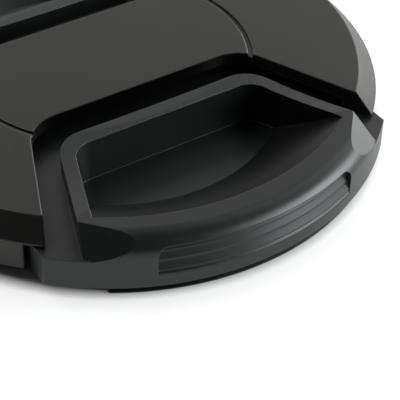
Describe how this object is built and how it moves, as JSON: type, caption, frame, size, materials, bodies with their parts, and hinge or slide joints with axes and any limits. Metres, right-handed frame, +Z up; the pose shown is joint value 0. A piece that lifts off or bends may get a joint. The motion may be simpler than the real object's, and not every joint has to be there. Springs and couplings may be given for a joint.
{
  "type": "camera lens cap",
  "caption": "Round camera lens cap that clips into a filter thread, with a flat bevelled face and two sprung pinch latches that carry scooped finger pockets and ridged bands.",
  "frame": {"origin": "on the cap's axis, level with the surface it lies on", "axes": "+Z up out of the cap's face, +X along the bar between the two openings, front latch on -Y"},
  "size_m": [0.08, 0.0848, 0.0095],
  "materials": {
    "shell_plastic": "fine satin grain",
    "latch_plastic": "satin, slightly smoother than the shell",
    "inner_plastic": "plain moulded",
    "spring_steel": "drawn wire"
  },
  "bodies": {
    "shell": {"cap_shell": "shell_plastic", "back_plate": "inner_plastic", "spring_left": "spring_steel", "spring_right": "spring_steel"},
    "front_latch": {"latch_front": "latch_plastic"},
    "rear_latch": {"latch_rear": "latch_plastic"}
  },
  "joints": [
    {"name": "front_latch_slide", "type": "slide", "parent": "shell", "child": "front_latch", "axis": [0, 1, 0], "range_m": [0, 0.0044], "stiffness_N_per_m": 600, "springref_m": -0.004, "deforming": ["spring_left", "spring_right"]},
    {"name": "rear_latch_slide", "type": "slide", "parent": "shell", "child": "rear_latch", "axis": [0, -1, 0], "range_m": [0, 0.0044], "stiffness_N_per_m": 600, "springref_m": -0.004, "deforming": ["spring_left", "spring_right"]}
  ]
}
